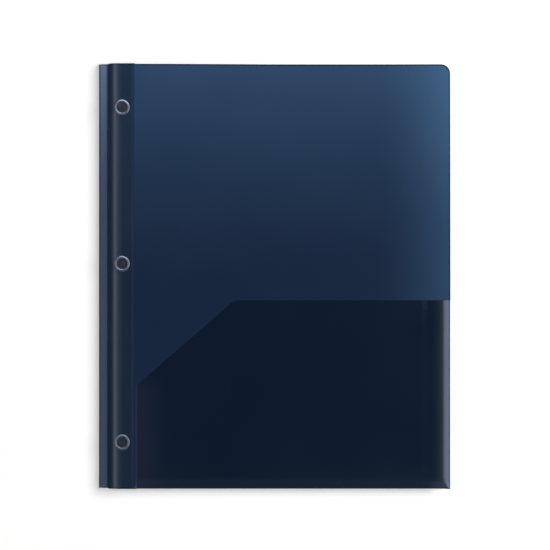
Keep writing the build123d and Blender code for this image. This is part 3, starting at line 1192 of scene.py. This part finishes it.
# %% The spine's bends
lip_tilt, flank_tilt = math.radians(9), math.radians(68)
knee_tilt, slope_tilt, crown_tilt = math.radians(30), math.radians(10), math.radians(4)
lip_length = 5.5 * mm
crease = (lip_tilt, flank_tilt, 0.35 * mm, 12)
bends_above = (
    (flank_tilt, knee_tilt, 0.4 * mm, 8),
    (knee_tilt, slope_tilt, 11 * mm, 12),
    (slope_tilt, crown_tilt, 20 * mm, 10),
    (crown_tilt, 0, 60 * mm, 10),
)


def heading(angle):
    """The direction at an angle above the x direction, in the section of the spine."""
    return Vector((math.cos(angle), 0, math.sin(angle)))


lip_start = pivots["spine_fold"] + heading(lip_tilt + math.pi / 2) * sheet / 2
lip_end = lip_start + heading(lip_tilt) * lip_length
flank_rise = front_middle - lip_end.z
for first, second, radius, _ in (crease, *bends_above):
    flank_rise -= radius * abs(math.cos(first) - math.cos(second))
flank_length = flank_rise / math.sin(flank_tilt)
print("flank", round(flank_length / mm, 3), "mm long")

# %% [markdown]
# Now the bending itself. The lip is a long rectangle. Its free edge is spun through each bend in
# turn, with the steep flank drawn out between the first two, and then drawn out flat as far as the
# groove. The edge along the groove stays sharp, because the groove's web is joined to it.

# %% Bend the spine
lip_size = (lip_length, folder_height)
spine = new_plane("spine_sheet", (lip_start + lip_end) / 2, lip_size, -lip_tilt)
select_where(spine, lambda place: (place - lip_end).xz.length < nearly)


def bend_on(end, first, second, radius, steps):
    """Spins the free edge through a bend from one tilt to another; gives its new place."""
    side = 1 if second > first else -1
    centre = end + heading(first + side * math.pi / 2) * radius
    bpy.ops.mesh.spin(steps=steps, angle=second - first, center=centre, axis=(0, 1, 0))
    return centre - heading(second + side * math.pi / 2) * radius


def straight_on(end, tilt, length, steps=1):
    """Draws the free edge out along a straight; gives its new place."""
    for _ in range(steps):
        draw_out(heading(tilt) * length / steps)
    return end + heading(tilt) * length


free_edge = bend_on(lip_end, *crease)
free_edge = straight_on(free_edge, flank_tilt, flank_length)
for bend in bends_above:
    free_edge = bend_on(free_edge, *bend)
print("crown ends at", round(free_edge.x / mm, 2))
free_edge = straight_on(free_edge, 0, panel_end - free_edge.x, 3)
leave_edit()
thicken(spine, keep=lambda place: place.x > panel_end - 0.3 * mm)
print("spine ends", [round(v / mm, 3) for v in free_edge], "panel ends at", round(panel_end / mm, 3))

# %% [markdown]
# When the folder opens, the shoulder flattens, and two stiff pieces would part or cut into each
# other there. The spine's sheet is one piece that stands for both the gusset and the panel; here it
# gets its material, and its place is baked into its mesh.

# %% Dress the spine
dress(spine, spine_navy, "navy_poly", "gusset", "fastener_panel")
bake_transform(spine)

# %% [markdown]
# At the spine's edge the lip folds back flat over the back cover. The fold is a thin wedge of
# sheet, turned about the line where the two touch. It could be part of the lip, but it bends with
# another joint. So the back cover's end face is drawn as a rectangle and spun half a turn round.

# %% The folded edge
fold_line = pivots["spine_fold"]
end_middle = fold_line - Vector((0, 0, sheet / 2))
fold_edge = new_plane("spine_edge", end_middle, (sheet, folder_height), math.pi / 2)
bpy.ops.mesh.select_all(action="SELECT")
bpy.ops.mesh.spin(steps=12, angle=lip_tilt - math.pi, center=fold_line, axis=(0, 1, 0))
leave_edit()
round_edges(fold_edge, 0.05 * mm)
dress(fold_edge, spine_navy, "navy_poly")
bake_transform(fold_edge)

# %% [markdown]
# Between the panel and the front cover the sheet is pressed thin along a groove, and this web is
# the cover's hinge. A gap with two lips would look alike when closed, but open when the cover
# swings. The web is a strip with many columns, so that it can bend, and its sides are tucked into
# the sheets that it joins.

# %% The groove's web
groove_depth, web_thickness, web_tuck = 0.15 * mm, 0.2 * mm, 0.3 * mm
web_steps = 16
web_level = cover_top - groove_depth - web_thickness / 2
web_columns = [panel_end - web_tuck, panel_end]
web_columns += [panel_end + 2 * groove_half * step / web_steps for step in range(1, web_steps + 1)]
web_columns += [cover_start + web_tuck]
web = grid_piece("groove_web", web_columns, [bottom_edge, top_edge], lambda x, y: (x, y, web_level))
thicken(web, web_thickness, 0.05 * mm)
dress(web, spine_navy, "navy_poly")
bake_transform(web)

# %% [markdown]
# Under the panel a second strip of sheet stiffens the row of rivets. It is cut with a plain die,
# so it is a rectangle whose corners are rounded by a bevel on its points. The prongs' plates,
# further on, are made by the same helper.

# %% The inner strip
def rounded_plate(name, node, rounding, segments, edge):
    """A flat plate that fills a solid's box, with its corners rounded."""
    low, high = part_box(node)
    piece = new_plane(name, (low + high) / 2, (high - low).xy)
    bpy.ops.mesh.select_all(action="SELECT")
    bpy.ops.mesh.bevel(offset=rounding, segments=segments, affect="VERTICES")
    leave_edit()
    thicken(piece, high.z - low.z, edge)
    return piece


strip = rounded_plate("inner_strip", "fastener_strip", 2 * mm, 6, sheet_edge)
dress(strip, inner_navy, "navy_poly", "fastener_strip")
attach(strip, "spine_panel")

# %% [markdown]
# The rivets are moulded in a harder, glossier plastic than the sheet. It lets light through where
# it is thin, and that light is painted in: the rims get a paler tint than the dish in the middle.
# Two materials would leave a hard border between rim and dish, so one material changes its tint
# with the height. A clear coat gives the sharp shine of a polished mould.

# %% The rivets' plastic
dish_tint, dish_tint_light = (0.015, 0.019, 0.033, 1), (0.02, 0.025, 0.042, 1)
# The rims' paler tint is painted light.
rim_light_tint = (0.055, 0.073, 0.116, 1)
rivet_navy, tree, shader, coordinates = new_material("rivet_navy")
grain = use_group(tree, satin_grain, coordinates, grain_size=0.15 * mm, wave_size=6 * mm)
tint = blend_colour(tree, "MIX", grain["Tone"], dish_tint, dish_tint_light)
height = add_node(tree, "SeparateXYZ", coordinates).outputs["Z"]
on_rim = fade(tree, height, cover_top + 0.4 * mm, cover_top + 0.6 * mm)
tint = blend_colour(tree, "MIX", on_rim, tint, rim_light_tint)
rough = spread_tone(tree, grain["Tone"], 0.16, 0.26)
give_surface(tree, shader, tint, rough, grain["Height"], 0.1, 0.004 * mm)
shader.inputs["IOR"].default_value = 1.55
shader.inputs["Coat Weight"].default_value = 1
shader.inputs["Coat Roughness"].default_value = 0.08
print(rivet_navy.name, len(tree.nodes), "nodes")

# %% [markdown]
# A rivet is round about its shank, so half of its section says it all. The head is a ring: a
# rounded rim about a flat dish, steeper towards the dish than on the outside. Below the sheets
# the end of the shank is spread over the prong. A cylinder with bevels could come close, but not
# with a rim that is steeper on one side, so the section is a chain of radii and heights.

# %% The rivets' section
rivet_low, rivet_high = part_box("middle_rivet")
prong_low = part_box("middle_prong_base")[0].z
head_radius = (rivet_high.x - rivet_low.x) / 2
head_rim = rivet_high.z - cover_top
dish_radius, dish_depth = 3.45 * mm, 0.55 * mm
shank_radius, clinch_radius, clinch_bevel = 1.7 * mm, 2.2 * mm, 0.2 * mm
crest_radius = dish_radius + 0.4 * (head_radius - dish_radius)
rim_start, rim_steps = 0.2 * mm, 16
dish_level = cover_top + head_rim - dish_depth
rivet_section = [(0, rivet_low.z), (clinch_radius - clinch_bevel, rivet_low.z)]
rivet_section += [(clinch_radius, rivet_low.z + clinch_bevel), (clinch_radius, prong_low)]
rivet_section += [(shank_radius, prong_low), (shank_radius, cover_top)]
rivet_section += [(head_radius - 0.15 * mm, cover_top), (head_radius, cover_top + 0.12 * mm)]
for step in range(1, rim_steps):
    angle = math.pi * step / rim_steps
    side = head_radius if angle < math.pi / 2 else dish_radius
    radius = crest_radius + abs(side - crest_radius) * math.cos(angle)
    rise = (head_rim - rim_start) * math.sin(angle)
    rivet_section.append((radius, cover_top + rim_start + rise))
rivet_section += [(dish_radius, dish_level + 0.1 * mm), (dish_radius - 0.12 * mm, dish_level)]
rivet_section += [(0, dish_level)]
print("rivet section of", len(rivet_section), "points")

# %% [markdown]
# The section is drawn as by hand: a single point is extruded from place to place, and the chain
# is spun all the way round. A Screw modifier would turn a drawn curve in the same way. The spin
# is chosen because it leaves a mesh at once, whose seam is then merged.

# %% Turn a section
def turned_piece(name, section, centre, steps):
    """A section of radii and heights, drawn as a chain of points and spun about a vertical line."""
    first_radius, first_height = section[0]
    start = (centre.x + first_radius, centre.y, first_height)
    bpy.ops.object.select_all(action="DESELECT")
    bpy.ops.mesh.primitive_plane_add(size=1 * mm, location=start)
    piece = bpy.context.object
    piece.name = name
    bpy.ops.object.transform_apply(location=True, rotation=True, scale=True)
    bpy.ops.object.mode_set(mode="EDIT")
    bpy.ops.mesh.select_mode(type="VERT")
    bpy.ops.mesh.select_all(action="SELECT")
    bpy.ops.mesh.merge(type="CENTER")
    for before, after in zip(section, section[1:]):
        move = (after[0] - before[0], 0, after[1] - before[1])
        bpy.ops.mesh.extrude_vertices_move(TRANSFORM_OT_translate={"value": move})
    bpy.ops.mesh.select_all(action="SELECT")
    bpy.ops.mesh.spin(steps=steps, angle=2 * math.pi, center=centre, axis=(0, 0, 1))
    leave_edit()
    bpy.ops.object.shade_smooth_by_angle(angle=smooth_to)
    return piece


# %% [markdown]
# The three rivets come from one mould. Each could be turned anew, but one is enough: the others
# are copies of it, each with its own mesh, moved along the strip. The lamp for the rings is told
# to shine on them, and they ride with the panel that they hold.

# %% Put the rivets in
rivet_rows = ("upper", "middle", "lower")
rivet_sides = 64


def copy_piece(piece, name, step):
    """A copy with its own mesh, which is moved while the object stays at the origin."""
    copied = bpy.data.objects.new(name, piece.data.copy())
    bpy.context.collection.objects.link(copied)
    copied.data.transform(Matrix.Translation(step))
    bpy.context.view_layer.update()
    return copied


rivet_places = {row: sum(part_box(f"{row}_rivet"), Vector()) / 2 for row in rivet_rows}
first_place = rivet_places["upper"]
rivets = {"upper": turned_piece("upper_ring_rivet", rivet_section, first_place, rivet_sides)}
for row in ("middle", "lower"):
    rivets[row] = copy_piece(rivets["upper"], f"{row}_ring_rivet", rivet_places[row] - first_place)
for row, rivet in rivets.items():
    dress(rivet, rivet_navy, "rivet_plastic", f"{row}_rivet")
    ring_light_on.objects.link(rivet)
    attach(rivet, "spine_panel")

# %% [markdown]
# The prongs are plated spring steel, cut from strip. The rolling leaves fine lines along each
# tang. An anisotropic shine would need directions on the mesh, so the lines come from stretched
# noise, which varies quickly across the strip and slowly along it, in tint, shine and relief.

# %% The prongs' steel
line_stretch = (1, 0.04, 1)
line_scale = 9000.0
steel_dark, steel_light = (0.5, 0.5, 0.49, 1), (0.72, 0.72, 0.7, 1)
prong_metal, tree, shader, coordinates = new_material("prong_metal")
stretched = add_node(tree, "Mapping", coordinates)
stretched.inputs["Scale"].default_value = line_stretch
lines = noise(tree, stretched.outputs["Vector"], line_scale, 3.0)
tint = blend_colour(tree, "MIX", lines, steel_dark, steel_light)
give_surface(tree, shader, tint, spread_tone(tree, lines, 0.22, 0.36), lines, 0.15, 0.01 * mm)
shader.inputs["Metallic"].default_value = 1
print(prong_metal.name, len(tree.nodes), "nodes")

# %% [markdown]
# Each prong has a small plate clamped under its rivet, and two tangs that bend up from the plate
# through the holes of punched paper. A stiff tang on a hinge would show a gap at its root. So a
# tang starts as a short row at its root and is drawn out row by row where it will bend, then to
# its tip, which is narrowed and rounded.

# %% A tang
tang_tip_share = 3.4 / 4.0
tang_bend, bend_rows = 1.2 * mm, 6
steel_edge = 0.06 * mm
tip_rounding = 0.49


def tang_piece(name, node, side):
    """One tang. Side is 1 if it lies towards the top edge, or -1."""
    low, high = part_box(node)
    root = low.y if side > 0 else high.y
    level = (low.z + high.z) / 2
    width = high.x - low.x
    length = high.y - low.y
    row = tang_bend / bend_rows
    middle = (low.x + high.x) / 2
    piece = new_plane(name, (middle, root + side * row / 2, level), (width, row))
    select_where(piece, lambda place: abs(place.y - root) > row / 2)
    for _ in range(bend_rows - 1):
        draw_out((0, side * row, 0))
    draw_out((0, side * (length - tang_bend), 0))
    tip = (middle, root + side * length, level)
    bpy.ops.transform.resize(value=(tang_tip_share, 1, 1), center_override=tip)
    bpy.ops.mesh.bevel(offset=tip_rounding * width * tang_tip_share, segments=8, affect="VERTICES")
    leave_edit()
    thicken(piece, high.z - low.z, steel_edge)
    return piece


# %% [markdown]
# Plates ride with the panel. A tang has its root on the panel and its blade on a body of its own;
# here each tang gets its material and its place is baked into its mesh. The prong at the top is
# modelled, and the other two are copies of its three pieces, moved to their rivets.

# %% Put the prongs in
tang_ways = {"up": 1, "down": -1}
first_plate = rounded_plate("upper_prong_plate", "upper_prong_base", 0.5 * mm, 4, steel_edge)
first_tangs = {
    way: tang_piece(f"upper_{way}_prong_tang", f"upper_tang_{way}", side) for way, side in tang_ways.items()
}
for row in rivet_rows:
    base, tangs = first_plate, first_tangs
    if row != "upper":
        step = rivet_places[row] - first_place
        base = copy_piece(first_plate, f"{row}_prong_plate", step)
        tangs = {way: copy_piece(tang, f"{row}_{way}_prong_tang", step) for way, tang in tangs.items()}
    dress(base, prong_metal, "prong_steel", f"{row}_prong_base")
    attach(base, "spine_panel")
    for way, side in tang_ways.items():
        node = f"{row}_tang_{way}"
        tang = tangs[way]
        dress(tang, prong_metal, "prong_steel", node)
        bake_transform(tang)
